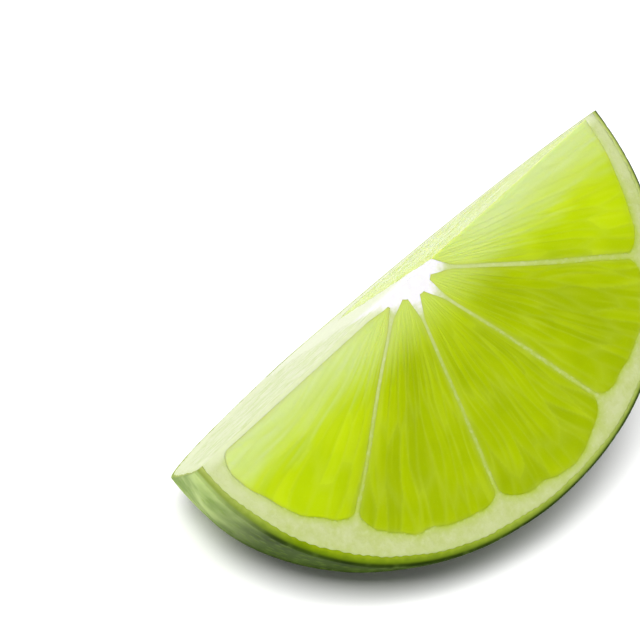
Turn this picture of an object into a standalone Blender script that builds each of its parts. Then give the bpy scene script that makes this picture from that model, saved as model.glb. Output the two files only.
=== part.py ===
"""A lime wedge lying on its skin.

The wedge is a quarter of a lime. One cut goes across the fruit at its widest girth and shows the wheel of
segments. The other cut goes lengthwise, close beside the core. It is modelled in the lime's own frame: the
core's axis is Z, the cross cut is the plane z = 0, and the lengthwise cut is a plane of constant y. An empty
then turns it to the pose in which it lies on its skin, with the rest spot's centre at the origin.
"""
import math

import bmesh
import bpy
import numpy as np
from mathutils import Euler, Vector

# The whole lime, in metres
GIRTH_RADIUS = 0.0270
HALF_LENGTH = 0.0322
NIPPLE_RISE = 0.0018
NIPPLE_RADIUS = 0.0056

# How far the girth is from round: the number of lobes, their height and the first one's direction in degrees
GIRTH_LOBES = ((1, 0.00030, 180.0), (2, 0.00098, -14.7), (3, 0.00056, 40.9))

# The skin, and the gap between bodies that touch
RIND = 0.0006
GAP = 0.0003

# The pith under the skin, which thickens between two directions in degrees, and its depth at the lime's end
PITH_THIN = 0.0011
PITH_THICK = 0.0022
PITH_GROWS_FROM = 92.0
PITH_GROWS_TO = 118.0
PITH_AT_END = 0.0030

# The walls between the segments: directions in degrees from the far end of the cut edge, and thicknesses
WALLS = (35.4, 71.2, 108.8, 145.1)
WALL = 0.0007
FACE_WALL = 0.0008

# A segment's tip beside the core, its rounded corners at the rim, and its dome at the lime's end
CORE_RADIUS = 0.0021
TIP_HALF_WIDTH = 0.00035
CORNER_ROUND = 0.0026
CORNER_BLUNT = 0.6
CORNER_POWER = 2.5
RIM_STEP = 0.00025
DOME_DIP = 0.16
DOME_DIP_WIDTH = 0.0035

# The cut flesh: how deep it lies, how far its juice sacs swell, and their rows from core to rim
FLESH_SUNK = 0.00010
SAC_SWELL = 0.00035
SAC_ROWS = 6

# The lengthwise cut passes beside the core's axis
CUT_FROM_AXIS = 0.00114

# How the wedge lies: turns about X, Y and Z in degrees, and the depth to which the skin is pressed flat
LIE = (-133.9, -18.0, 44.9)
REST_DEPTH = 0.0015

# Fineness of the mesh, and the spare length of what cuts
STEPS_ROUND = 60
STEPS_TO_END = 20
SEGMENT_GRID = (12, 8)
CUT_FACE_LEVELS = 7
SHARP_EDGE = math.radians(50.0)
SEARCH_STEP = 0.5
SPARE = 0.003
REACH = 0.060


def clear_scene():
    """Remove what a new file holds."""
    for thing in list(bpy.data.objects):
        bpy.data.objects.remove(thing, do_unlink=True)


def collection(name, parent):
    group = bpy.data.collections.new(name)
    parent.children.link(group)
    return group


def smooth_rise(value, start, end):
    """0 before start, 1 after end, and an S-curve between them."""
    t = min(max((value - start) / (end - start), 0.0), 1.0)
    return t * t * (3.0 - 2.0 * t)


def girth(angle):
    """Radius of the lime's skin at the cross cut, at an angle in radians."""
    radius = GIRTH_RADIUS
    for count, height, first in GIRTH_LOBES:
        radius += height * math.cos(count * (angle - math.radians(first)))
    return radius


def pith_thickness(angle):
    """The pith is thin in the far half of the wheel and thick in the near half."""
    rise = smooth_rise(math.degrees(angle), PITH_GROWS_FROM, PITH_GROWS_TO)
    return PITH_THIN + (PITH_THICK - PITH_THIN) * rise


def nipple(radius):
    """Rise of the small nipple at the lime's end, at a distance from the axis."""
    return NIPPLE_RISE * math.exp(-(radius / NIPPLE_RADIUS) ** 2)


def skin_profile(depth):
    """Half profile of the lime at a depth below its skin, from its end down past the cross cut."""
    points = []
    for step in range(STEPS_TO_END + 1):
        angle = 0.5 * math.pi * (1.0 - step / STEPS_TO_END)
        radius = (GIRTH_RADIUS - depth) * math.cos(angle)
        points.append((radius, (HALF_LENGTH - depth) * math.sin(angle) + nipple(radius)))
    points.append((GIRTH_RADIUS - depth, -SPARE))
    points.append((0.0, -SPARE))
    return points


def turned_lime(name, depth, group):
    """The whole upper half of the lime, turned from its profile and then pushed out of round."""
    mesh = bpy.data.meshes.new(name)
    profile = skin_profile(depth)
    edges = [(i, i + 1) for i in range(len(profile) - 1)]
    mesh.from_pydata([(radius, 0.0, height) for radius, height in profile], edges, [])
    guide = bpy.data.objects.new(name + "_profile", mesh)
    group.objects.link(guide)
    screw = guide.modifiers.new("Turn", "SCREW")
    screw.axis = "Z"
    screw.steps = STEPS_ROUND
    screw.render_steps = STEPS_ROUND
    screw.use_merge_vertices = True
    screw.merge_threshold = 0.00001
    turned = bpy.data.meshes.new_from_object(guide.evaluated_get(bpy.context.evaluated_depsgraph_get()))
    bpy.data.objects.remove(guide, do_unlink=True)
    for vertex in turned.vertices:
        angle = math.atan2(vertex.co.y, vertex.co.x)
        stretch = (girth(angle) - depth) / (GIRTH_RADIUS - depth)
        vertex.co.x *= stretch
        vertex.co.y *= stretch
    turned.name = name
    lime = bpy.data.objects.new(name, turned)
    group.objects.link(lime)
    turned.shade_smooth()
    return lime


def segment_sides(index, gap, open_by=0.0):
    """A segment's two sides: the direction of a line from the axis, and the distance kept from that line.

    The first segment reaches the lengthwise cut, and open_by past it. The last stops at a thin wall there.
    """
    if index == 0:
        low = (0.0, CUT_FROM_AXIS + FLESH_SUNK - open_by)
    else:
        low = (WALLS[index - 1], WALL / 2 + gap)
    if index == len(WALLS):
        high = (180.0, CUT_FROM_AXIS + FACE_WALL + gap)
    else:
        high = (WALLS[index], WALL / 2 + gap)
    return low, high


def side_angles(sides, radius):
    """The angles in radians at which a segment's sides stand at a distance from the axis."""
    (low, low_offset), (high, high_offset) = sides
    first = math.radians(low) + math.asin(max(-1.0, min(1.0, low_offset / radius)))
    second = math.radians(high) - math.asin(max(-1.0, min(1.0, high_offset / radius)))
    return first, second


def tip_radius(index):
    """Distance from the axis at which a segment becomes wide enough to have a tip."""
    sides = segment_sides(index, 0.0)
    radius = CORE_RADIUS
    first, second = side_angles(sides, radius)
    while (second - first) * radius < 2 * TIP_HALF_WIDTH:
        radius *= 1.02
        first, second = side_angles(sides, radius)
    return radius


def corner_rounding(radius, rim):
    """How far a segment's outer corners pull in: 1 where they don't, and CORNER_BLUNT at the rim."""
    into_corner = max(0.0, (radius - rim + CORNER_ROUND) / CORNER_ROUND)
    lost = into_corner ** CORNER_POWER * (1.0 - CORNER_BLUNT ** CORNER_POWER)
    return (1.0 - lost) ** (1.0 / CORNER_POWER)


def dome(radius, tip, rim, height):
    """Height of a segment's far end over the cut face: a dome that dips a little beside the core."""
    dip = DOME_DIP * math.exp(-(radius - tip) / DOME_DIP_WIDTH)
    return height * math.sqrt(1.0 - (radius / (rim + RIM_STEP)) ** 2) * (1.0 - dip)


def juice_sacs(lane, along):
    """Swelling of the cut juice sacs, 0 to 1, in lanes out from the core and in shifted rows."""
    row = math.floor(along * SAC_ROWS)
    length = abs(math.sin(math.pi * along * SAC_ROWS))
    width = abs(math.sin(0.5 * math.pi * (lane + row)))
    return length * width


def grid_block(across, along, levels):
    """A unit cube cut into a grid, as a bmesh."""
    block = bmesh.new()
    bmesh.ops.create_cube(block, size=1.0)
    bmesh.ops.translate(block, verts=block.verts, vec=(0.5, 0.5, 0.5))
    for axis, parts in enumerate((along, across, levels)):
        if parts > 1:
            run = [edge for edge in block.edges if abs((edge.verts[0].co - edge.verts[1].co)[axis]) > 0.5]
            bmesh.ops.subdivide_edges(block, edges=run, cuts=parts - 1, use_grid_fill=True)
    return block


def segment_body(name, index, gap, bottom, open_by, swell, levels, group):
    """A segment between its two sides, from the cut face up to the dome under the pith.

    The cube's X runs from the core to the rim, its Y across the segment and its Z away from the cut face.
    """
    sides = segment_sides(index, gap, open_by)
    tip = tip_radius(index) + gap
    dome_height = HALF_LENGTH - RIND - GAP - PITH_AT_END - gap
    block = grid_block(SEGMENT_GRID[1], SEGMENT_GRID[0], levels)
    for vertex in block.verts:
        along, across, up = vertex.co
        first, second = side_angles(sides, GIRTH_RADIUS)
        toward = first + across * (second - first)
        rim = girth(toward) - RIND - GAP - pith_thickness(toward) - gap
        radius = tip + (rim - tip) * math.sin(0.5 * math.pi * along)
        first, second = side_angles(sides, radius)
        cut_open = index == 0 and across < 0.5
        narrow = 1.0 if cut_open else corner_rounding(radius, rim)
        angle = (first + second) / 2 + (across - 0.5) * (second - first) * narrow
        height = bottom + (dome(radius, tip, rim, dome_height) - bottom) * up
        x, y = radius * math.cos(angle), radius * math.sin(angle)
        if swell and up == 0.0:
            height -= swell * juice_sacs(across * SEGMENT_GRID[1], along)
        if swell and cut_open and across == 0.0 and 0.0 < along < 1.0:
            y -= swell * juice_sacs(up * levels, along)
        vertex.co = (x, y, height)
    bmesh.ops.recalc_face_normals(block, faces=block.faces)
    mesh = bpy.data.meshes.new(name)
    block.to_mesh(mesh)
    block.free()
    mesh.shade_smooth()
    mesh.set_sharp_from_angle(angle=SHARP_EDGE)
    segment = bpy.data.objects.new(name, mesh)
    group.objects.link(segment)
    return segment


def box_cutter(name, low, high, group):
    """A box between two corners, kept as a cutter."""
    block = bmesh.new()
    bmesh.ops.create_cube(block, size=1.0)
    low, high = Vector(low), Vector(high)
    bmesh.ops.scale(block, verts=block.verts, vec=high - low)
    bmesh.ops.translate(block, verts=block.verts, vec=(low + high) / 2)
    mesh = bpy.data.meshes.new(name)
    block.to_mesh(mesh)
    block.free()
    box = bpy.data.objects.new(name, mesh)
    group.objects.link(box)
    return box


def boolean(target, operation, other):
    """Add a Boolean with one cutter, or with a collection of them."""
    step = target.modifiers.new(operation.capitalize(), "BOOLEAN")
    step.operation = operation
    step.solver = "EXACT"
    if isinstance(other, bpy.types.Collection):
        step.operand_type = "COLLECTION"
        step.collection = other
    else:
        step.object = other


def lowest_skin_point(turn):
    """The point of the wedge's skin that is lowest once the wedge is turned, in the lime's frame."""
    best = None
    for angle in np.radians(np.arange(0.0, 180.0, SEARCH_STEP)):
        for climb in np.radians(np.arange(0.0, 90.0, SEARCH_STEP)):
            radius = girth(angle) * math.cos(climb)
            height = HALF_LENGTH * math.sin(climb)
            point = Vector((radius * math.cos(angle), radius * math.sin(angle), height))
            level = (turn @ point).z
            if best is None or level < best[0]:
                best = (level, point)
    return best[1]


def lying_empty(group):
    """The empty that turns the lime's frame so that the wedge lies with its rest spot at the origin."""
    turn = Euler([math.radians(angle) for angle in LIE], "XYZ").to_matrix()
    low = turn @ lowest_skin_point(turn)
    empty = bpy.data.objects.new("lime_frame", None)
    empty.rotation_euler = [math.radians(angle) for angle in LIE]
    empty.location = (-low.x, -low.y, -low.z - REST_DEPTH)
    group.objects.link(empty)
    return empty


def finish_material(name, colour, roughness, subsurface=0.0):
    material = bpy.data.materials.new(name)
    material.use_nodes = True
    shader = material.node_tree.nodes["Principled BSDF"]
    shader.inputs["Base Color"].default_value = (*colour, 1.0)
    shader.inputs["Roughness"].default_value = roughness
    shader.inputs["Metallic"].default_value = 0.0
    shader.inputs["Subsurface Weight"].default_value = subsurface
    material.diffuse_color = (*colour, 1.0)
    return material


def build():
    clear_scene()
    parts = collection("lime_wedge", bpy.context.scene.collection)
    cutters = collection("cutters", bpy.context.scene.collection)
    pockets = collection("segment_pockets", cutters)
    frame = lying_empty(parts)

    quarter = box_cutter("quarter", (-REACH, CUT_FROM_AXIS, 0.0), (REACH, REACH, REACH), cutters)
    tables = {}
    for layer, depth in (("rind", 0.0), ("rind_inside", RIND), ("pith", RIND + GAP)):
        corners = (-REACH, -REACH, -REACH), (REACH, REACH, depth)
        tables[layer] = box_cutter("table_under_" + layer, *corners, cutters)

    rind_inside = turned_lime("rind_inside", RIND, cutters)
    boolean(rind_inside, "DIFFERENCE", tables["rind_inside"])
    rind = turned_lime("rind", 0.0, parts)
    boolean(rind, "DIFFERENCE", tables["rind"])
    boolean(rind, "DIFFERENCE", rind_inside)
    boolean(rind, "INTERSECT", quarter)
    rind.data.materials.append(finish_material("green_skin", (0.10, 0.20, 0.03), 0.40))

    for index in range(len(WALLS) + 1):
        open_by = SPARE / 2 if index == 0 else 0.0
        segment_body("pocket_%d" % (index + 1), index, 0.0, -SPARE, open_by, 0.0, 1, pockets)
    pith = turned_lime("pith", RIND + GAP, parts)
    boolean(pith, "DIFFERENCE", tables["pith"])
    boolean(pith, "INTERSECT", quarter)
    boolean(pith, "DIFFERENCE", pockets)
    pith.data.materials.append(finish_material("white_pith", (0.72, 0.76, 0.50), 0.60, 0.3))

    flesh = finish_material("green_flesh", (0.42, 0.55, 0.02), 0.22, 0.5)
    segments = []
    for index in range(len(WALLS) + 1):
        name = "pulp_segment_%d" % (index + 1)
        levels = CUT_FACE_LEVELS if index == 0 else 1
        segment = segment_body(name, index, GAP, FLESH_SUNK, 0.0, SAC_SWELL, levels, parts)
        segment.data.materials.append(flesh)
        segments.append(segment)

    for piece in [rind, pith, rind_inside, quarter] + segments + list(pockets.objects):
        piece.parent = frame
    for cutter in list(cutters.objects) + list(pockets.objects):
        cutter.hide_render = True
        cutter.display_type = "WIRE"


build()
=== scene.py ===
"""The looks of a lime wedge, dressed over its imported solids.

All forms are worked out in the lime's own frame: the core's axis is Z, the cross cut that shows
the wheel of segments is the plane z = 0, and the lengthwise cut is the plane y = CUT_FROM_AXIS.
Every outer surface is swept from the straight cut edge between the two. `turn` runs round the
edge's middle from the far end to the near end, and `over` from the wheel to the lengthwise cut.
"""
import math

import bmesh
import bpy
import numpy as np
from mathutils import Euler, Matrix, Vector
from mathutils.kdtree import KDTree


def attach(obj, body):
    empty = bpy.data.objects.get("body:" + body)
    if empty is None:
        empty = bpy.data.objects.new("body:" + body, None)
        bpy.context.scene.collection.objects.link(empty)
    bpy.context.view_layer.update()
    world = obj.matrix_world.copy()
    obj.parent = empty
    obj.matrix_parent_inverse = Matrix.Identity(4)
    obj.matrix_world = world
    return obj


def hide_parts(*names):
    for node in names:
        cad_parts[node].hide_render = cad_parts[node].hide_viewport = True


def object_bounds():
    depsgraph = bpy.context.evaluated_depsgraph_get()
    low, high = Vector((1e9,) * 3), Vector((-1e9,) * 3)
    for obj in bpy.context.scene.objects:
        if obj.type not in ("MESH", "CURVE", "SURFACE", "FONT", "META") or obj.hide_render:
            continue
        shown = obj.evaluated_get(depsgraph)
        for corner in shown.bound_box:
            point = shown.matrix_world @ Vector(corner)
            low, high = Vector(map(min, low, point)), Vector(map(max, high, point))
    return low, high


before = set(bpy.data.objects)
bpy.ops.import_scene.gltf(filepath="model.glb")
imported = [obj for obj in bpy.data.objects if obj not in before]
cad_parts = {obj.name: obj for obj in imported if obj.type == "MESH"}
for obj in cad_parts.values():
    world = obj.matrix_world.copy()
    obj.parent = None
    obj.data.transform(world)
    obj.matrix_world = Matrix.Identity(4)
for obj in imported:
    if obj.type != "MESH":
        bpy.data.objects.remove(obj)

CAD_BOX = [list(corner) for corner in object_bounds()]
MM = 0.001

# The lime, as its solids have it
GIRTH_RADIUS = 27.0 * MM
HALF_LENGTH = 32.2 * MM
NIPPLE_RISE = 1.8 * MM
NIPPLE_RADIUS = 5.6 * MM
GIRTH_LOBES = ((1, 0.30 * MM, 180.0), (2, 0.98 * MM, -14.7), (3, 0.56 * MM, 40.9))
CUT_FROM_AXIS = 1.14 * MM
LIE = (-133.9, -18.0, 44.9)
REST_DEPTH = 1.5 * MM

# The skin, cut across: its green edge with the oil glands that bulge out of it
SKIN_EDGES = ((0, 0.45), (30, 0.50), (70, 0.62), (95, 0.75), (115, 0.95), (135, 1.15), (165, 1.15),
              (180, 0.9))
# Painted light and shade along the skin's cut edge, by degrees: lightest at the far end, darkest low down
# towards the near end, lighter again at the near end.
EDGE_PAINTED_LIGHT = ((0, 1.0), (12, 1.0), (50, 0.7), (76, 0.55), (100, 0.3), (130, 0.1), (155, 0.0),
                  (170, 0.5), (180, 0.7))
LENGTHWISE_EDGE = 0.62 * MM
GLAND_BULGE = 0.16 * MM
GLAND_SPACING = 0.95 * MM
GLAND_PIT = 0.07 * MM
SKIN_WAVE = 0.05 * MM
EDGE_ROUGHNESS = 0.10 * MM
NEAR_CORNER_DRAW = 0.7 * MM
NEAR_CORNER_START = (math.radians(138.0), math.radians(162.0))
NEAR_CORNER_END = (math.radians(166.0), math.radians(180.0))
NEAR_CORNER_OVER = (math.radians(50.0), math.radians(90.0))
EDGE_PROUD = 0.03 * MM
EDGE_SUNK = 0.25 * MM
SKIN_INSIDE = 0.85 * MM
PITH_OUTSIDE = 0.35 * MM
PITH_UNDER_SKIN = 0.12 * MM
# A painted highlight makes the skin's near end pale; it fades out between these distances from the
# lengthwise cut.
PAINTED_HIGHLIGHT_FROM_EDGE = (2.0 * MM, 11.0 * MM)
# Heights over the table across which the coat comes in; below them its sheen is taken off as painted shade.
COAT_ABOVE_SHADE_HEIGHTS = (4.0 * MM, 14.0 * MM)

# The pith, the segments' walls and the segments. By degrees, how deep under the skin the flesh ends
PITH_DEPTHS = ((0, 1.6), (10, 1.75), (20, 2.0), (30, 2.15), (50, 1.95), (62, 1.9), (71, 2.5), (79, 1.9),
               (87, 1.6), (95, 1.85), (104, 2.5), (111, 2.8), (125, 2.95), (140, 3.2), (146, 3.5),
               (152, 3.2), (160, 2.9), (171, 2.5), (180, 2.1))
PITH_AT_END = 3.9 * MM
WALLS = (35.4, 71.2, 108.8, 145.1)
WALL_AT_RIM = (0.66 * MM, 0.52 * MM, 0.42 * MM, 0.40 * MM)
WALL_AT_CORE = 0.22 * MM
WALL_DRIFT = 0.16 * MM
FACE_WALL = 0.40 * MM
CORE_RADIUS = 2.9 * MM
TIP_HALF_WIDTH = 0.35 * MM
CORNER_ROUND = 1.5 * MM
CORNER_BLUNT = 0.72
CORNER_POWER = 2.2
TIP_ROUND = 2.6 * MM
TIP_BLUNT = 0.35
RIM_STEP = 0.25 * MM
RIM_WAVE = 0.25 * MM
RIM_WAVE_LENGTH = 2.6 * MM
DOME_DIP = 0.16
DOME_DIP_WIDTH = 3.5 * MM
OVERLAP = 0.06 * MM
THIN_REACH = 0.42 * MM
# How far the painted light along each segment's border reaches into the flesh.
PAINTED_BORDER_LIGHT_REACH = 0.16 * MM
BY_SKIN_REACH = 0.45 * MM
PITH_ROUGHNESS = 0.03 * MM
PITH_FINE_ROUGHNESS = 0.02 * MM
FILM_SWELL = 2.0
POCKET_FRONT = 2.0 * MM
POCKET_OPEN_BY = 1.5 * MM

# The cut flesh
SAC_LENGTH = 7.0 * MM
SAC_WIDTH = 1.0 * MM
SAC_BEND = 0.55 * MM
SAC_SWELL = 0.055 * MM
STREAK_SWELL = 0.012 * MM
STREAK_FADE = (3.0 * MM, 11.0 * MM)
SAC_RING = 17.0 * MM
LENGTHWISE_SWELL = 1.8
LENGTHWISE_SUNK = 0.04 * MM
FLESH_EDGE_DIP = 0.05 * MM
# Painted glow: the end segments, beside the lengthwise cut, are painted brighter, standing in for light
# shining through the wedge's thin edge.
PAINTED_GLOW_FROM_MIDDLE = (48.0, 66.0)

# The photograph's camera: the lime's core at the cross cut lies here from the lens, in girth radii
CORE_FROM_LENS = (0.2784, 7.8814, -4.3490)
CAMERA_PITCH = 60.0
LENS = 148.3
SENSOR = 36.0

# The lamps: where each one stands, how wide it is and its power. The room's light comes from all round
BACK_LAMP = ((-0.45, 0.50, 0.80), 0.55, 3.9)
FRONT_LAMP = ((-0.20, -0.80, 0.75), 0.80, 5.8)
FLOOR_LAMP = ((-0.06, -0.97, 1.08), 0.44, 30.0)
ROOM_LIGHT = 0.50


def girth(angle):
    """Radius of the skin at the cross cut."""
    radius = np.full_like(np.asarray(angle, float), GIRTH_RADIUS)
    for count, height, first in GIRTH_LOBES:
        radius = radius + height * np.cos(count * (angle - math.radians(first)))
    return radius


def smooth_rise(value, start, end):
    """0 before start, 1 after end, and an S-curve between them."""
    t = np.clip((value - start) / (end - start), 0.0, 1.0)
    return t * t * (3.0 - 2.0 * t)


def lattice_hash(cells, seed):
    """A number between 0 and 1 for each whole-number cell, the same on every run."""
    low_bits = np.uint64(0xFFFFFFFF)
    mixed = np.full(cells.shape[:-1], seed * 374761393 % 4294967296, np.uint64)
    for axis, prime in enumerate((73856093, 19349663, 83492791)[:cells.shape[-1]]):
        step = cells[..., axis].astype(np.int64).astype(np.uint64)
        mixed = (mixed ^ (step * np.uint64(prime))) & low_bits
        mixed = (mixed * np.uint64(2654435761)) & low_bits
        mixed = mixed ^ (mixed >> np.uint64(15))
    return mixed.astype(float) / float(low_bits)


def grain(points, size, seed):
    """Smooth noise between -1 and 1, with features of that size. Size may differ by axis."""
    scaled = np.asarray(points, float) / np.asarray(size, float)
    base = np.floor(scaled)
    part = scaled - base
    part = part * part * (3.0 - 2.0 * part)
    total = np.zeros(scaled.shape[:-1])
    for corner in np.ndindex(*(2,) * scaled.shape[-1]):
        share = np.ones(scaled.shape[:-1])
        for axis, side in enumerate(corner):
            share = share * (part[..., axis] if side else 1.0 - part[..., axis])
        total += share * lattice_hash(base + np.array(corner), seed)
    return total * 2.0 - 1.0


def packed_cells(points, size, seed, jitter=0.8):
    """Cells packed side by side: distances to the nearest centre and border, and each cell's number."""
    scaled = np.asarray(points, float) / np.asarray(size, float)
    base = np.floor(scaled)
    count = scaled.shape[-1]
    nearest = np.full(scaled.shape[:-1], 9.0)
    second = np.full(scaled.shape[:-1], 9.0)
    number = np.zeros(scaled.shape[:-1])
    for shift in np.ndindex(*(3,) * count):
        cell = base + np.array(shift) - 1
        centre = np.stack([cell[..., a] + 0.5 + jitter * (lattice_hash(cell, seed + 7 * a) - 0.5)
                           for a in range(count)], -1)
        distance = np.sqrt(((scaled - centre) ** 2).sum(-1))
        closer = distance < nearest
        second = np.where(closer, nearest, np.minimum(second, distance))
        number = np.where(closer, lattice_hash(cell, seed + 99), number)
        nearest = np.where(closer, distance, nearest)
    return nearest, second - nearest, number


def under_skin(points, depth):
    """Whether points lie deeper than depth under the lime's skin."""
    cross = np.hypot(points[..., 0], points[..., 1])
    share = cross / (girth(np.arctan2(points[..., 1], points[..., 0])) - depth)
    height = (HALF_LENGTH - depth) * np.sqrt(np.clip(1.0 - share ** 2, 0.0, 1.0))
    height += NIPPLE_RISE * np.exp(-((GIRTH_RADIUS - depth) * share / NIPPLE_RADIUS) ** 2)
    return (share < 1.0) & (points[..., 2] <= height)


EDGE_MIDDLE = np.array([0.0, CUT_FROM_AXIS, 0.0])


def heading(turn, over):
    """Direction from the middle of the cut edge, as unit vectors."""
    return np.stack([np.cos(turn), np.sin(turn) * np.cos(over), np.sin(turn) * np.sin(over)], -1)


def skin_distance(turn, over, depth):
    """Distance from the middle of the cut edge to the surface at a depth under the skin."""
    toward = heading(turn, over)
    near = np.zeros(toward.shape[:-1])
    far = np.full(toward.shape[:-1], 1.6 * HALF_LENGTH)
    for _ in range(32):
        middle = 0.5 * (near + far)
        inside = under_skin(EDGE_MIDDLE + toward * middle[..., None], depth)
        near = np.where(inside, middle, near)
        far = np.where(inside, far, middle)
    return near


def surface(turn, over, depth):
    """The surface at a depth under the skin, drawn in a little at the lengthwise cut's near corner."""
    drawn = NEAR_CORNER_DRAW * smooth_rise(turn, *NEAR_CORNER_START)
    drawn = drawn * (1.0 - smooth_rise(turn, *NEAR_CORNER_END)) * smooth_rise(over, *NEAR_CORNER_OVER)
    return EDGE_MIDDLE + heading(turn, over) * (skin_distance(turn, over, depth) - drawn)[..., None]


def depth_under_skin(points):
    """How deep points lie, measured towards the middle of the cut edge."""
    inward = points - EDGE_MIDDLE
    reach = np.maximum(np.linalg.norm(inward, axis=-1), 0.001 * MM)
    turn = np.arccos(np.clip(inward[..., 0] / reach, -1.0, 1.0))
    over = np.clip(np.arctan2(inward[..., 2], inward[..., 1]), 0.0, 0.5 * math.pi)
    return np.linalg.norm(surface(turn, over, 0.0) - EDGE_MIDDLE, axis=-1) - reach


def outward(points):
    """Unit normals of the lime's skin."""
    wide = girth(np.arctan2(points[..., 1], points[..., 0]))
    x, y, z = np.moveaxis(points, -1, 0)
    normal = np.stack([x / wide ** 2, y / wide ** 2, z / HALF_LENGTH ** 2], -1)
    return normal / np.linalg.norm(normal, axis=-1, keepdims=True)


def lowest_skin_point(turned):
    """The point of the skin that is lowest once the wedge lies down, found as the solids find it."""
    round_axis = np.radians(np.arange(0.0, 180.0, 0.5))
    angle, climb = np.meshgrid(round_axis, np.radians(np.arange(0.0, 90.0, 0.5)))
    radius = girth(angle) * np.cos(climb)
    points = np.stack([radius * np.cos(angle), radius * np.sin(angle), HALF_LENGTH * np.sin(climb)], -1)
    heights = points @ np.array(turned)[2]
    return points.reshape(-1, 3)[heights.argmin()]


def lying_frame():
    """The matrix from the lime's frame to the frame in which the wedge lies on its rest spot."""
    turned = Euler([math.radians(angle) for angle in LIE], "XYZ").to_matrix()
    low = turned @ Vector(lowest_skin_point(turned))
    return Matrix.Translation((-low.x, -low.y, -low.z - REST_DEPTH)) @ turned.to_4x4()


LYING = lying_frame()


def height_over_table(points):
    """How high points of the lime's frame lie over the table."""
    upward = np.array(LYING)[2]
    return points @ upward[:3] + upward[3]


def press_flat(points, floor):
    """Press whatever is lower than floor, over the table, up to it."""
    lift = np.maximum(floor - height_over_table(points), 0.0)
    return points + lift[..., None] * np.array(LYING)[2, :3]


def wall_line(index, radius):
    """A segment wall's middle line wanders a little from its ruled direction."""
    phase = 2.1 * index + 0.6
    run = radius / GIRTH_RADIUS
    return WALL_DRIFT * (np.sin(5.1 * run + phase) + 0.5 * np.sin(11.7 * run + 2.3 * phase)) * run


def half_wall(index, radius):
    """Half a wall's thickness, which grows from the core to the rim."""
    return 0.5 * (WALL_AT_CORE + (WALL_AT_RIM[index] - WALL_AT_CORE) * radius / GIRTH_RADIUS)


def segment_sides(index, radius, gap, open_by):
    """The angles at which a segment's two sides stand at a distance from the axis."""
    if index == 0:
        low, low_offset = 0.0, np.full_like(radius, CUT_FROM_AXIS - open_by)
    else:
        low = WALLS[index - 1]
        low_offset = half_wall(index - 1, radius) + wall_line(index - 1, radius) - gap
    if index == len(WALLS):
        high, high_offset = 180.0, np.full_like(radius, CUT_FROM_AXIS + FACE_WALL - gap)
    else:
        high = WALLS[index]
        high_offset = half_wall(index, radius) - wall_line(index, radius) - gap
    first = math.radians(low) + np.arcsin(np.clip(low_offset / radius, -1.0, 1.0))
    second = math.radians(high) - np.arcsin(np.clip(high_offset / radius, -1.0, 1.0))
    return first, second


def tip_radius(index):
    """Distance from the axis at which a segment becomes wide enough to have a tip."""
    radius = np.array(CORE_RADIUS)
    while True:
        first, second = segment_sides(index, radius, 0.0, 0.0)
        if (second - first) * radius >= 2 * TIP_HALF_WIDTH:
            return float(radius)
        radius = radius * 1.01


def pith_depth(angle):
    """Depth of the flesh's outer end under the skin."""
    return by_degrees(PITH_DEPTHS, angle)


def segment_form(index, along, across, gap=0.0, open_by=0.0):
    """Where a segment's points lie in the cut, and its height over the cut there.

    along runs from the core to the rim and across from the far side to the near side, both from 0 to 1.
    Returns x, y, height, radius and the distance to the nearest edge.
    """
    tip = tip_radius(index) - gap
    first, second = segment_sides(index, np.full_like(along, GIRTH_RADIUS), gap, open_by)
    toward = first + across * (second - first)
    rim = girth(toward) - pith_depth(toward) + gap
    rim = rim + RIM_WAVE * grain(np.stack([toward * GIRTH_RADIUS], -1), RIM_WAVE_LENGTH, 11 + index)
    radius = tip + (rim - tip) * np.sin(0.5 * math.pi * along)
    first, second = segment_sides(index, radius, gap, open_by)
    into_corner = np.clip((radius - rim + CORNER_ROUND) / CORNER_ROUND, 0.0, 1.0)
    narrow = 1.0 - into_corner ** CORNER_POWER * (1.0 - CORNER_BLUNT ** CORNER_POWER)
    narrow = narrow ** (1.0 / CORNER_POWER)
    into_tip = np.clip(1.0 - (radius - tip) / TIP_ROUND, 0.0, 1.0)
    narrow = narrow * (1.0 - into_tip ** 2 * (1.0 - TIP_BLUNT))
    if index == 0:
        narrow = np.where(across < 0.5, 1.0, narrow)
    angle = 0.5 * (first + second) + (across - 0.5) * (second - first) * narrow
    dip = DOME_DIP * np.exp(-(radius - tip) / DOME_DIP_WIDTH)
    dome = np.sqrt(1.0 - (radius / (rim + RIM_STEP)) ** 2)
    height = (HALF_LENGTH - PITH_AT_END + gap) * dome * (1.0 - dip)
    width = radius * (second - first) * narrow
    side = np.where(across < 0.5, across, 1.0 - across) * width
    if index == 0:
        side = (1.0 - across) * width
    edge = np.minimum(side, np.minimum(rim - radius, radius - tip))
    return radius * np.cos(angle), radius * np.sin(angle), height, radius, edge


def grid_quads(rows, columns, first=0):
    """Vertex numbers of the quads of a grid that is stored row by row."""
    start = first + np.arange(rows - 1)[:, None] * columns + np.arange(columns - 1)[None, :]
    return np.stack([start, start + 1, start + columns + 1, start + columns], -1).reshape(-1, 4)


def border(rows, columns):
    """Vertex numbers round the edge of such a grid."""
    grid = np.arange(rows * columns).reshape(rows, columns)
    return np.concatenate([grid[0, :-1], grid[:-1, -1], grid[-1, :0:-1], grid[:0:-1, 0]])


def closed_mesh(name, front, loops, middle, masks=None):
    """A closed mesh: a grid in front, then loops of points from its border to one point behind."""
    rows, columns = front.shape[:2]
    points = [front.reshape(-1, 3)]
    faces = [grid_quads(rows, columns)]
    previous = border(rows, columns)
    count = rows * columns
    for loop in loops:
        points.append(loop)
        current = count + np.arange(len(loop))
        faces.append(np.stack([previous, np.roll(previous, -1), np.roll(current, -1), current], -1))
        previous = current
        count += len(loop)
    points.append(np.asarray(middle, float).reshape(1, 3))
    fan = [(int(a), int(b), count) for a, b in zip(previous, np.roll(previous, -1))]
    behind = count + 1 - rows * columns
    padded = {key: np.append(values, np.zeros(behind)) for key, values in (masks or {}).items()}
    return mesh_piece(name, np.concatenate(points), np.concatenate(faces).tolist() + fan, padded)


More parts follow.
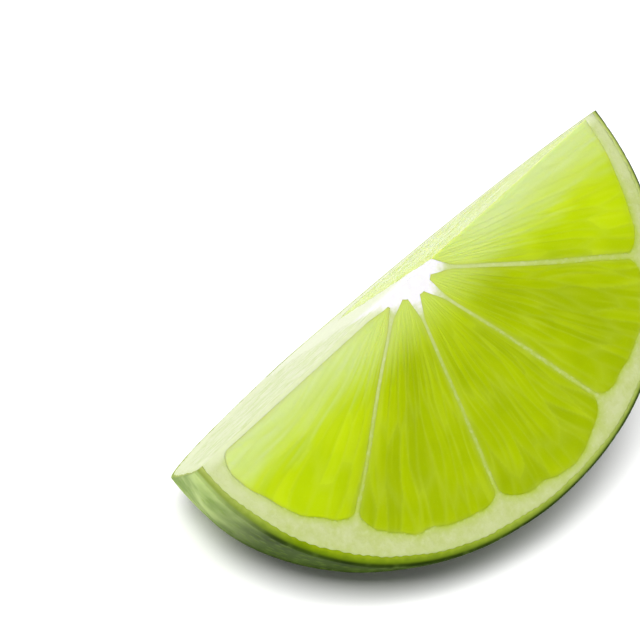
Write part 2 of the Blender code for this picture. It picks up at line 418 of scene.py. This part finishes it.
def mesh_piece(name, points, faces, masks=None):
    """An object in the lime's frame, with doubled points merged and its faces turned outward."""
    mesh = bpy.data.meshes.new(name)
    mesh.from_pydata(np.asarray(points).tolist(), [], faces)
    for key, values in (masks or {}).items():
        write_mask(mesh, key, values)
    piece = bpy.data.objects.new(name, mesh)
    bpy.context.scene.collection.objects.link(piece)
    work = bmesh.new()
    work.from_mesh(mesh)
    bmesh.ops.remove_doubles(work, verts=work.verts, dist=0.002 * MM)
    bmesh.ops.recalc_face_normals(work, faces=work.faces)
    work.to_mesh(mesh)
    work.free()
    mesh.shade_smooth()
    return piece


def vertex_points(mesh):
    """The places of a mesh's vertices."""
    points = np.empty(len(mesh.vertices) * 3, np.float32)
    mesh.vertices.foreach_get("co", points)
    return points.reshape(-1, 3).astype(float)


def move_vertices(mesh, points):
    """Put a mesh's vertices elsewhere."""
    mesh.vertices.foreach_set("co", np.asarray(points, np.float32).reshape(-1))
    mesh.update()


def write_mask(mesh, name, values):
    """Keep a number for each vertex, for the materials."""
    mask = mesh.attributes.new(name, "FLOAT", "POINT")
    mask.data.foreach_set("value", np.asarray(values, np.float32))


def read_off(pairs, angle):
    """A value read from pairs of degrees and values."""
    degrees, values = zip(*pairs)
    return np.interp(np.degrees(angle), degrees, values)


def by_degrees(pairs, angle):
    """A length in metres read from pairs of degrees and millimetres."""
    return MM * read_off(pairs, angle)


def build_skin(turns=480, overs=160, edge_steps=6, loops=7):
    """The green skin: a shell with pitted oil glands, whose cut edge shows on both cuts."""
    turn, over = np.meshgrid(np.linspace(0.0, math.pi, turns), np.linspace(0.0, 0.5 * math.pi, overs))
    front = surface(turn, over, 0.0)
    gland, _, gland_size = packed_cells(front, GLAND_SPACING, 5)
    pit = smooth_rise(1.0 - gland / 0.42, 0.0, 1.0) * (0.6 + 0.8 * gland_size)
    wave = SKIN_WAVE * grain(front, 4.0 * MM, 3)
    front = front + outward(front) * (wave - GLAND_PIT * pit)[..., None]
    front = press_flat(front, 0.0)
    edge = border(overs, turns)
    outer = front.reshape(-1, 3)[edge]
    edge_turn, edge_over = turn.reshape(-1)[edge], over.reshape(-1)[edge]
    inward = EDGE_MIDDLE - outer
    inward /= np.linalg.norm(inward, axis=-1, keepdims=True)
    run = edge_turn * GIRTH_RADIUS
    on_wheel = edge_over < 0.1
    along = (run + np.where(on_wheel, 0.0, 7.0))[:, None]
    bulge = np.cos(2.0 * math.pi * run / GLAND_SPACING + 2.5 * grain(along, 3.0 * MM, 21))
    bulge = bulge * (0.6 + 0.4 * grain(along, 1.9 * MM, 23))
    wide = np.where(on_wheel, by_degrees(SKIN_EDGES, edge_turn), LENGTHWISE_EDGE)
    depth = wide + 0.5 * GLAND_BULGE * bulge + EDGE_ROUGHNESS * grain(along, 1.6 * MM, 22)
    proud = np.where(on_wheel[:, None], (0.0, 0.0, -1.0), (0.0, -1.0, 0.0))
    proud = proud * np.sin(edge_turn)[:, None] ** 0.5
    rings = []
    for step in range(1, edge_steps + 1):
        lift = EDGE_PROUD if step < edge_steps else -EDGE_SUNK
        rings.append(outer + inward * (depth * step / edge_steps)[:, None] + proud * lift)
    middle_turn, middle_over = 0.5 * math.pi, 0.25 * math.pi
    for loop in range(1, loops):
        share = 1.0 - loop / loops
        ring_turn = middle_turn + (edge_turn - middle_turn) * share
        ring_over = middle_over + (edge_over - middle_over) * share
        rings.append(press_flat(surface(ring_turn, ring_over, SKIN_INSIDE), SKIN_INSIDE))
    middle = surface(np.array(middle_turn), np.array(middle_over), SKIN_INSIDE)
    piece = closed_mesh("lime_skin", front, rings, press_flat(middle, SKIN_INSIDE))
    mask_skin(piece.data)
    return piece


def mask_skin(mesh):
    """Where the skin's glands and cut edge are, the painted highlight at its near end, the painted light and
    shade along its cut edge, and its height over the table, which keeps the coat's sheen off the shaded
    underside.
    """
    points = vertex_points(mesh)
    gland, _, _ = packed_cells(points, GLAND_SPACING, 5)
    angle = np.arctan2(points[:, 1], points[:, 0])
    by_wheel = points[:, 2] < EDGE_SUNK + EDGE_PROUD
    by_a_cut = by_wheel | (points[:, 1] < CUT_FROM_AXIS + EDGE_SUNK + EDGE_PROUD)
    wide = np.where(by_wheel, by_degrees(SKIN_EDGES, angle), LENGTHWISE_EDGE)
    depth = np.where(by_a_cut, depth_under_skin(points) / wide, 0.0)
    # Painted highlight: the near end of the skin is made pale.
    painted_highlight = smooth_rise(-points[:, 0], 0.45 * GIRTH_RADIUS, 0.85 * GIRTH_RADIUS)
    write_mask(mesh, "gland", np.clip(1.0 - gland / 0.5, 0.0, 1.0))
    write_mask(mesh, "depth", np.clip(depth, 0.0, 1.0))
    write_mask(mesh, "painted_highlight", painted_highlight * (1.0 - smooth_rise(points[:, 1], *PAINTED_HIGHLIGHT_FROM_EDGE)))
    # Painted light and shade along the cut edge.
    write_mask(mesh, "edge_painted_light", read_off(EDGE_PAINTED_LIGHT, angle))
    # Painted shade: the coat is kept off the skin low down.
    write_mask(mesh, "coat_above_shade", smooth_rise(height_over_table(points), *COAT_ABOVE_SHADE_HEIGHTS))


def build_block(turns=420, steps=130, overs=26):
    """The quarter of the lime under its skin, closed, with finely divided cut faces."""
    turn = np.linspace(0.0, math.pi, turns)
    share = np.linspace(0.0, 1.0, steps)
    wheel = surface(turn, np.zeros(turns), PITH_OUTSIDE)
    wheel = EDGE_MIDDLE + (wheel - EDGE_MIDDLE)[None] * share[:, None, None]
    lengthwise = surface(turn, np.full(turns, 0.5 * math.pi), PITH_OUTSIDE)
    lengthwise = EDGE_MIDDLE + (lengthwise - EDGE_MIDDLE)[None] * share[::-1, None, None]
    arcs = []
    for part in np.linspace(0.0, 1.0, overs)[1:-1]:
        deep = PITH_OUTSIDE + (SKIN_INSIDE - PITH_OUTSIDE) * min(1.0, 6.0 * min(part, 1.0 - part))
        arcs.append(press_flat(surface(turn, np.full(turns, 0.5 * math.pi * part), deep), SKIN_INSIDE))
    rows = np.concatenate([wheel, np.array(arcs), lengthwise])
    return mesh_piece("lime_pith", rows.reshape(-1, 3), grid_quads(len(rows), turns).tolist())


def build_pocket(index, steps=64, lanes=36):
    """The body that a segment's pocket has, standing out of the cross cut, to cut the pith with."""
    along, across = np.meshgrid(np.linspace(0.0, 1.0, steps), np.linspace(0.0, 1.0, lanes), indexing="ij")
    x, y, height, _, _ = segment_form(index, along, across, 0.0, POCKET_OPEN_BY)
    front = np.stack([x, y, np.full_like(x, -POCKET_FRONT)], -1)
    back = np.stack([x, y, height], -1)
    count = steps * lanes
    edge = border(steps, lanes)
    walls = np.stack([edge, np.roll(edge, -1), np.roll(edge, -1) + count, edge + count], -1)
    faces = np.concatenate([grid_quads(steps, lanes), grid_quads(steps, lanes, count), walls])
    points = np.concatenate([front.reshape(-1, 3), back.reshape(-1, 3)])
    return mesh_piece("pocket", points, faces.tolist())


def carve(piece, cutter):
    """Cut one body from another for good."""
    step = piece.modifiers.new("Carve", "BOOLEAN")
    step.operation = "DIFFERENCE"
    step.solver = "MANIFOLD"
    step.object = cutter
    depsgraph = bpy.context.evaluated_depsgraph_get()
    carved = bpy.data.meshes.new_from_object(piece.evaluated_get(depsgraph))
    piece.modifiers.clear()
    old = piece.data
    piece.data = carved
    bpy.data.meshes.remove(old)
    bpy.data.objects.remove(cutter, do_unlink=True)


def build_pith():
    """The white pith with its core and the segments' walls, and five pockets carved into it."""
    piece = build_block()
    outline = []
    for index in range(len(WALLS) + 1):
        carve(piece, build_pocket(index))
        side = np.linspace(0.0, 1.0, 160)
        start, end = np.zeros_like(side), np.ones_like(side)
        for along, across in ((side, start), (side, end), (start, side), (end, side)):
            x, y, _, _, _ = segment_form(index, along, across)
            outline.append(np.stack([x, y], -1))
    mesh = piece.data
    mesh.name = "lime_pith"
    mesh.shade_smooth()
    points = vertex_points(mesh)
    wheel = points[:, 2] < 0.01 * MM
    face = points[:, 1] < CUT_FROM_AXIS + 0.01 * MM
    angle = np.arctan2(points[:, 1], points[:, 0])
    under = depth_under_skin(points) - np.where(wheel, by_degrees(SKIN_EDGES, angle), LENGTHWISE_EDGE)
    relief = PITH_ROUGHNESS * grain(points, 1.1 * MM, 31)
    relief = relief + PITH_FINE_ROUGHNESS * grain(points, 0.35 * MM, 32)
    relief = relief * smooth_rise(under, 0.0, 0.5 * MM)
    relief = relief + PITH_UNDER_SKIN * (1.0 - smooth_rise(under, -0.35 * MM, 0.0))
    swell, _, _, _ = sac_relief(-points[:, 0], points[:, 2], 77)
    film = points[:, 0] < -CORE_RADIUS
    points[:, 2] += np.where(wheel, relief, 0.0)
    points[:, 1] += np.where(face & ~wheel, relief - np.where(film, FILM_SWELL * swell, 0.0), 0.0)
    move_vertices(mesh, points)
    write_mask(mesh, "thin", flesh_nearness(points, wheel | face, np.concatenate(outline)))
    write_mask(mesh, "by_skin", np.exp(-np.clip(under, 0.0, None) / BY_SKIN_REACH))
    rim = girth(np.array(math.pi)) - pith_depth(np.array(math.pi))
    top = (HALF_LENGTH - PITH_AT_END) * np.sqrt(np.clip(1.0 - (points[:, 0] / rim) ** 2, 0.0, 1.0))
    inside = np.minimum(np.minimum(top - points[:, 2], rim + points[:, 0]), -points[:, 0] - CORE_RADIUS)
    write_mask(mesh, "over_flesh", np.where(face & ~wheel, smooth_rise(inside, 0.0, 1.2 * MM), 0.0))
    return piece


def flesh_nearness(points, shown, outline):
    """1 beside the flesh, falling to 0 in the middle of thick pith, for the points that show."""
    tree = KDTree(len(outline))
    for number, (x, y) in enumerate(outline):
        tree.insert((x, y, 0.0), number)
    tree.balance()
    nearness = np.zeros(len(points))
    for number in np.flatnonzero(shown & (points[:, 2] < 0.5 * MM)):
        distance = tree.find((points[number, 0], points[number, 1], 0.0))[2]
        nearness[number] = math.exp(-distance / THIN_REACH)
    return nearness


def sac_relief(out, sideways, seed):
    """The cut juice sacs: their swelling in metres, how near a sac's skin is, and each sac's number."""
    place = np.stack([out, sideways], -1)
    bend = SAC_BEND * grain(place, (6.0 * MM, 3.0 * MM), seed + 1)
    place = place + np.stack([np.zeros_like(out), bend], -1)
    nearest, gap, number = packed_cells(place, (SAC_LENGTH, SAC_WIDTH), seed)
    streak = grain(place, (3.5 * MM, 0.28 * MM), seed + 2) * smooth_rise(out, *STREAK_FADE)
    swell = SAC_SWELL * (smooth_rise(gap, 0.0, 0.35) - 0.4) * (0.6 + 0.8 * number) + STREAK_SWELL * streak
    return swell, np.clip(1.0 - gap / 0.30, 0.0, 1.0), number, streak


def build_flesh(index, steps=150, lanes=96, levels=110):
    """One segment's flesh. Both cuts open the first segment, so its front is folded over the edge."""
    along, across = np.meshgrid(np.linspace(0.0, 1.0, steps), np.linspace(0.0, 1.0, lanes), indexing="ij")
    x, y, height, radius, edge = segment_form(index, along, across, OVERLAP)
    seed = 40 + 10 * index
    swell, _, _, _ = sac_relief(radius, np.arctan2(y, x) * SAC_RING, seed)
    soft = smooth_rise(edge, 0.0, 0.8 * MM)
    z = FLESH_EDGE_DIP * (1.0 - soft) - swell * soft
    front = np.stack([x, y, z], -1)
    # Painted light along the flesh's border, lifting the shade where it meets the pith.
    painted_border_light = np.exp(-np.maximum(edge, 0.0) / PAINTED_BORDER_LIGHT_REACH)
    if index == 0:
        rise = np.linspace(1.0, 0.0, levels)[:-1]
        far_x, far_top = x[:, :1], height[:, :1]
        up = z[:, :1] + (far_top - z[:, :1]) * rise[None, :]
        run = np.broadcast_to(far_x, up.shape)
        swell, _, _, _ = sac_relief(run, up, seed + 5)
        from_rim = np.minimum(far_top - up, np.minimum(far_x - far_x[0], far_x[-1] - far_x))
        swell = LENGTHWISE_SWELL * swell * smooth_rise(from_rim, 0.0, 0.6 * MM)
        fold = np.stack([run, CUT_FROM_AXIS + LENGTHWISE_SUNK - swell, up], -1)
        front = np.concatenate([fold, front], axis=1)
        painted_border_light = np.concatenate([np.zeros(fold.shape[:2]), painted_border_light], axis=1)
    shown = front.shape[1]
    side = border(steps, shown)
    row, column = side // shown, side % shown - (shown - lanes)
    edge_along = row / (steps - 1.0)
    edge_across = np.clip(column, 0, lanes - 1) / (lanes - 1.0)
    loops = []
    for share in (1.0, 0.93, 0.85, 0.75, 0.62, 0.48, 0.33, 0.17):
        ring_along = 0.5 + (edge_along - 0.5) * share
        ring_across = 0.5 + (edge_across - 0.5) * share
        ring_x, ring_y, top, _, _ = segment_form(index, ring_along, ring_across, OVERLAP)
        loops.append(np.stack([ring_x, ring_y, top], -1))
    middle_x, middle_y, middle_top, _, _ = segment_form(index, np.array(0.5), np.array(0.5), OVERLAP)
    name = "lime_flesh_%d" % (index + 1)
    piece = closed_mesh(name, front, loops, (middle_x, middle_y, middle_top), {"border": painted_border_light})
    mask_flesh(piece.data, seed, index == 0)
    return piece


def mask_flesh(mesh, seed, cut_lengthwise):
    """Where the flesh's sacs and streaks are, how far out it lies and from the lengthwise cut, and where the
    end segments get their painted glow.
    """
    points = vertex_points(mesh)
    lengthwise = (points[:, 1] < CUT_FROM_AXIS + 0.3 * MM) & (points[:, 2] > 0.05 * MM)
    out = np.where(lengthwise, points[:, 0], np.hypot(points[:, 0], points[:, 1]))
    angle = np.arctan2(points[:, 1], points[:, 0])
    sideways = np.where(lengthwise, points[:, 2], angle * SAC_RING)
    _, sac_skin, number, streak = sac_relief(out, sideways, seed)
    if cut_lengthwise:
        _, other_skin, other_number, other_streak = sac_relief(out, sideways, seed + 5)
        sac_skin = np.where(lengthwise, other_skin, sac_skin)
        number = np.where(lengthwise, other_number, number)
        streak = np.where(lengthwise, other_streak, streak)
    write_mask(mesh, "sac_skin", sac_skin)
    write_mask(mesh, "sac_number", number)
    write_mask(mesh, "streak", 0.5 + 0.5 * streak)
    # These two masks carry the painted light near the core and the lengthwise cut.
    write_mask(mesh, "out", out / GIRTH_RADIUS)
    write_mask(mesh, "from_edge", (points[:, 1] - CUT_FROM_AXIS) / GIRTH_RADIUS)
    write_mask(mesh, "painted_glow", smooth_rise(np.abs(np.degrees(angle) - 90.0), *PAINTED_GLOW_FROM_MIDDLE))


class Sock:
    """A value in a material. Arithmetic on it adds the Math nodes that work it out."""

    def __init__(self, tree, socket):
        self.tree = tree
        self.socket = socket

    def math(self, operation, *others):
        """Another value, worked out from this one and others."""
        return self.tree.node("ShaderNodeMath", {"operation": operation}, [self, *others])

    def __add__(self, other):
        return self.math("ADD", other)

    def __sub__(self, other):
        return self.math("SUBTRACT", other)

    def __mul__(self, other):
        return self.math("MULTIPLY", other)

    def __rsub__(self, other):
        return self.tree.node("ShaderNodeMath", {"operation": "SUBTRACT"}, [other, self])

    __radd__ = __add__
    __rmul__ = __mul__

    def rise(self, start, end):
        """0 below start, 1 above end, and an S-curve between them."""
        smooth = {"interpolation_type": "SMOOTHSTEP"}
        return self.tree.node("ShaderNodeMapRange", smooth, [self, start, end, 0.0, 1.0])


class Finish:
    """A material with a Principled shader, and short ways to add nodes to it."""

    def __init__(self, name):
        self.material = bpy.data.materials.new(name)
        self.material.use_nodes = True
        self.nodes = self.material.node_tree.nodes
        self.links = self.material.node_tree.links
        self.shader = self.nodes["Principled BSDF"]

    def node(self, kind, settings, values, output=0):
        """Add a node: its settings first, then its sockets by number or name, as values or links."""
        made = self.nodes.new(kind)
        for key, value in settings.items():
            setattr(made, key, value)
        pairs = values.items() if isinstance(values, dict) else enumerate(values)
        for key, value in pairs:
            self.feed(made.inputs[key], value)
        return Sock(self, made.outputs[output])

    def feed(self, socket, value):
        """Link a value to a socket, or set the socket to a number, colour or vector."""
        if isinstance(value, Sock):
            self.links.new(value.socket, socket)
        else:
            socket.default_value = value

    def mask(self, name):
        """A number that a piece keeps for each vertex."""
        source = {"attribute_name": name, "attribute_type": "GEOMETRY"}
        return self.node("ShaderNodeAttribute", source, {}, "Fac")

    def place(self, stretch=(1.0, 1.0, 1.0)):
        """Position in the lime's frame, stretched."""
        lying = self.node("ShaderNodeTexCoord", {}, {}, "Object")
        lie = [lying, LYING.translation, LYING.to_euler()]
        where = self.node("ShaderNodeMapping", {"vector_type": "TEXTURE"}, lie)
        return self.node("ShaderNodeVectorMath", {"operation": "MULTIPLY"}, [where, stretch])

    def from_core(self):
        """Distance from the core's axis, and from the cross cut."""
        flat = self.place((1.0, 1.0, 0.0))
        away = self.node("ShaderNodeVectorMath", {"operation": "LENGTH"}, [flat], "Value")
        return away, self.node("ShaderNodeSeparateXYZ", {}, [self.place()], "Z")

    def noise(self, place, size, detail=3.0):
        """Cloudy noise with features of that size."""
        values = {"Vector": place, "Scale": 1.0 / size, "Detail": detail, "Roughness": 0.55}
        return self.node("ShaderNodeTexNoise", {}, values, "Fac")

    def mix(self, share, first, second):
        """Blend two colours."""
        first = (*first, 1.0) if isinstance(first, tuple) else first
        second = (*second, 1.0) if isinstance(second, tuple) else second
        return self.node("ShaderNodeMix", {"data_type": "RGBA"}, {0: share, 6: first, 7: second}, 2)

    def bump(self, height, distance, strength):
        """A normal that follows a fine relief."""
        values = {"Strength": strength, "Distance": distance, "Height": height}
        return self.node("ShaderNodeBump", {}, values)

    def set(self, **sockets):
        """Feed the Principled shader's sockets, whose spaces are written as underscores."""
        for name, value in sockets.items():
            self.feed(self.shader.inputs[name.replace("_", " ")], value)
        return self.material


def skin_finish():
    """Dark green skin, mottled, with lighter glands and a paler green cut edge; a painted highlight at its
    near end, painted light and shade along the cut edge, and a coat whose sheen is taken off low down as
    painted shade.
    """
    wax = Finish("green_lime_skin")
    place = wax.place()
    mottle = wax.noise(place, 6.0 * MM, 3.0).rise(0.35, 0.65)
    fine = wax.noise(place, 0.8 * MM, 2.0)
    gland = wax.mask("gland")
    depth = wax.mask("depth")
    painted_highlight = wax.mask("painted_highlight")
    edge_painted_light = wax.mask("edge_painted_light")
    # The pale near-end colours are a painted highlight, standing in for the bright reflection on the skin
    # there.
    dark = wax.mix(painted_highlight, (0.016, 0.032, 0.002), (0.190, 0.290, 0.055))
    light = wax.mix(painted_highlight, (0.036, 0.066, 0.004), (0.430, 0.550, 0.180))
    colour = wax.mix(mottle, dark, light)
    colour = wax.mix(gland * 0.30, colour, (0.20, 0.30, 0.05))
    # The cut edge's greens are lightened and darkened by painted light and shade.
    green = wax.mix(edge_painted_light, (0.14, 0.23, 0.000), (0.36, 0.44, 0.09))
    pale = wax.mix(edge_painted_light, (0.32, 0.44, 0.00), (0.58, 0.67, 0.22))
    edge = wax.mix((depth + 0.5 * fine).rise(0.55, 1.25), green, pale)
    colour = wax.mix(depth.rise(0.12, 0.45), colour, edge)
    normal = wax.bump(fine, 0.03 * MM, 0.6)
    # The coat grows with height over the table: painted shade takes the sheen off the underside.
    return wax.set(Base_Color=colour, Roughness=0.38 + 0.14 * fine, Normal=normal, Specular_IOR_Level=0.0,
                   Coat_Weight=wax.mask("coat_above_shade") * 0.18 + 0.01, Coat_Roughness=0.30, Subsurface_Weight=0.1,
                   Subsurface_Radius=(0.6, 1.0, 0.2), Subsurface_Scale=0.6 * MM)


def pith_finish():
    """Damp white pith, a little green towards the skin and the flesh."""
    pith = Finish("white_lime_pith")
    place = pith.place()
    cloud = pith.noise(place, 1.6 * MM, 4.0)
    fibre = pith.noise(pith.place((1.0, 1.0, 0.35)), 0.5 * MM, 3.0)
    colour = pith.mix(cloud.rise(0.3, 0.7), (0.55, 0.62, 0.23), (0.63, 0.68, 0.35))
    colour = pith.mix(pith.mask("thin"), colour, (0.44, 0.57, 0.02))
    colour = pith.mix(fibre.rise(0.45, 0.75) * 0.25, colour, (0.74, 0.78, 0.50))
    film = pith.mask("over_flesh")
    veins = pith.noise(pith.place((0.25, 1.0, 1.0)), 0.6 * MM, 3.0)
    veined = pith.mix(veins.rise(0.35, 0.65), (0.69, 0.79, 0.40), (0.86, 0.90, 0.68))
    colour = pith.mix(film * 0.75, colour, veined)
    behind = pith.node("ShaderNodeSeparateXYZ", {}, [place], "Y")
    bare = 1.0 - film
    near_edge = 1.0 - behind.rise(CUT_FROM_AXIS + 2.0 * MM, CUT_FROM_AXIS + 10.0 * MM)
    colour = pith.mix(near_edge * bare * 0.35, colour, (0.80, 0.86, 0.56))
    by_edge = 1.0 - behind.rise(CUT_FROM_AXIS + 0.2 * MM, CUT_FROM_AXIS + 1.2 * MM)
    colour = pith.mix(by_edge * bare * 0.85, colour, (0.80, 0.86, 0.56))
    colour = pith.mix(pith.mask("by_skin") * 0.30, colour, (0.46, 0.58, 0.12))
    away, back = pith.from_core()
    strands = pith.noise(pith.place((1.0, 1.0, 0.2)), 0.9 * MM, 3.0)
    white = 1.0 - (away + (strands - 0.5) * 2.5 * MM - by_edge * 0.9 * MM).rise(3.0 * MM, 4.8 * MM)
    white = white * (1.0 - back.rise(2.0 * MM, 10.0 * MM) * 0.85)
    colour = pith.mix(white, colour, (1.0, 0.98, 1.0))
    normal = pith.bump(fibre + cloud, 0.10 * MM, 0.7)
    return pith.set(Base_Color=colour, Roughness=0.42 + 0.2 * cloud, Normal=normal, Subsurface_Weight=0.3,
                    Subsurface_Radius=(1.0, 1.1, 0.7), Subsurface_Scale=0.2 * MM, Specular_IOR_Level=0.20)


def flesh_finish():
    """Wet, translucent flesh: yellow-green juice sacs with paler skins and fine streaks, with painted light:
    a brighter glow in the end segments, paler near the lengthwise cut and the core, and a paler band along
    each segment's border.
    """
    flesh = Finish("green_lime_flesh")
    number = flesh.mask("sac_number")
    streak = flesh.mask("streak")
    cloud = flesh.noise(flesh.place(), 5.0 * MM, 2.0)
    painted_glow = flesh.mask("painted_glow")
    # Painted glow: brighter colours for the end segments.
    deep = flesh.mix(painted_glow, (0.365, 0.480, 0.0), (0.500, 0.660, 0.0))
    light = flesh.mix(painted_glow, (0.470, 0.600, 0.0), (0.600, 0.760, 0.004))
    colour = flesh.mix((number * 0.35 + cloud * 0.85).rise(0.20, 1.0), deep, light)
    colour = flesh.mix(streak.rise(0.50, 0.95) * 0.12, colour, (0.70, 0.80, 0.05))
    colour = flesh.mix(flesh.mask("sac_skin") * 0.08, colour, (0.76, 0.86, 0.15))
    # Painted light: the flesh is paler near the lengthwise cut and near the core.
    from_edge = flesh.mask("from_edge") + (streak - 0.5) * 0.07
    colour = flesh.mix(1.0 - from_edge.rise(0.0, 0.22), colour, (0.69, 0.81, 0.33))
    colour = flesh.mix((1.0 - flesh.mask("out").rise(0.08, 0.42)) * 0.50, colour, (0.62, 0.78, 0.02))
    # Painted light: a paler band along the flesh's border with the pith.
    colour = flesh.mix(flesh.mask("border") * 0.45, colour, (0.66, 0.78, 0.16))
    fine = flesh.noise(flesh.place(), 0.25 * MM, 2.0)
    normal = flesh.bump(fine + streak, 0.03 * MM, 0.4)
    return flesh.set(Base_Color=colour, Roughness=0.20 + 0.12 * fine, Normal=normal, Specular_IOR_Level=0.06,
                     Subsurface_Weight=1.0, Subsurface_Radius=(1.0, 1.1, 0.25), Subsurface_Scale=0.35 * MM)


def floor_finish():
    """Plain matt white."""
    floor = Finish("white_floor")
    return floor.set(Base_Color=(0.92, 0.92, 0.92, 1.0), Roughness=0.9)


def build_stage():
    """A white floor and soft white light: two lamps for the wedge, and one for its shadow on the floor."""
    bpy.ops.mesh.primitive_plane_add(size=3.0)
    floor = bpy.context.object
    floor.name = "floor"
    floor.data.materials.append(floor_finish())
    world = bpy.data.worlds.new("white_room")
    world.use_nodes = True
    world.node_tree.nodes["Background"].inputs["Color"].default_value = (1.0, 1.0, 1.0, 1.0)
    world.node_tree.nodes["Background"].inputs["Strength"].default_value = ROOM_LIGHT
    bpy.context.scene.world = world
    bpy.context.scene.view_settings.view_transform = "Standard"
    reach_only(soft_light("back", *BACK_LAMP), "wedge_from_behind", wedge_pieces)
    reach_only(soft_light("front", *FRONT_LAMP), "wedge_from_the_front", wedge_pieces)
    reach_only(soft_light("floor", *FLOOR_LAMP), "floor_only", [floor])


def reach_only(lamp, name, things):
    """Let a light shine on some objects alone."""
    group = bpy.data.collections.new(name)
    for thing in things:
        group.objects.link(thing)
    lamp.light_linking.receiver_collection = group


def soft_light(name, place, size, power):
    """A square soft light that faces the wedge."""
    light = bpy.data.lights.new(name, "AREA")
    light.size = size
    light.energy = power
    lamp = bpy.data.objects.new(name, light)
    lamp.location = place
    lamp.rotation_euler = (-Vector(place)).to_track_quat("-Z", "Y").to_euler()
    bpy.context.scene.collection.objects.link(lamp)
    return lamp


def place_camera():
    """The photograph's camera, set back from the core by its fitted distance."""
    camera = bpy.data.objects.new("camera", bpy.data.cameras.new("camera"))
    camera.data.sensor_width = SENSOR
    camera.data.lens = LENS
    camera.data.clip_start = 0.01
    camera.location = LYING.translation - Vector(CORE_FROM_LENS) * GIRTH_RADIUS
    camera.rotation_euler = (math.radians(CAMERA_PITCH), 0.0, 0.0)
    bpy.context.scene.collection.objects.link(camera)
    bpy.context.scene.camera = camera


wedge_pieces = []


def dress(piece, material, slot, *nodes):
    """Lay a piece down inside the solids' box, give it its finish, and let it stand for its solids."""
    piece.data.transform(LYING)
    move_vertices(piece.data, np.clip(vertex_points(piece.data), *CAD_BOX))
    wedge_pieces.append(piece)
    piece.data.materials.clear()
    piece.data.materials.append(material)
    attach(piece, "root")
    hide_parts(*nodes)


dress(build_skin(), skin_finish(), "rind", "rind")
dress(build_pith(), pith_finish(), "pith", "pith")
flesh = flesh_finish()
for segment in range(len(WALLS) + 1):
    dress(build_flesh(segment), flesh, "pulp", "pulp_segment_%d" % (segment + 1))
build_stage()
place_camera()
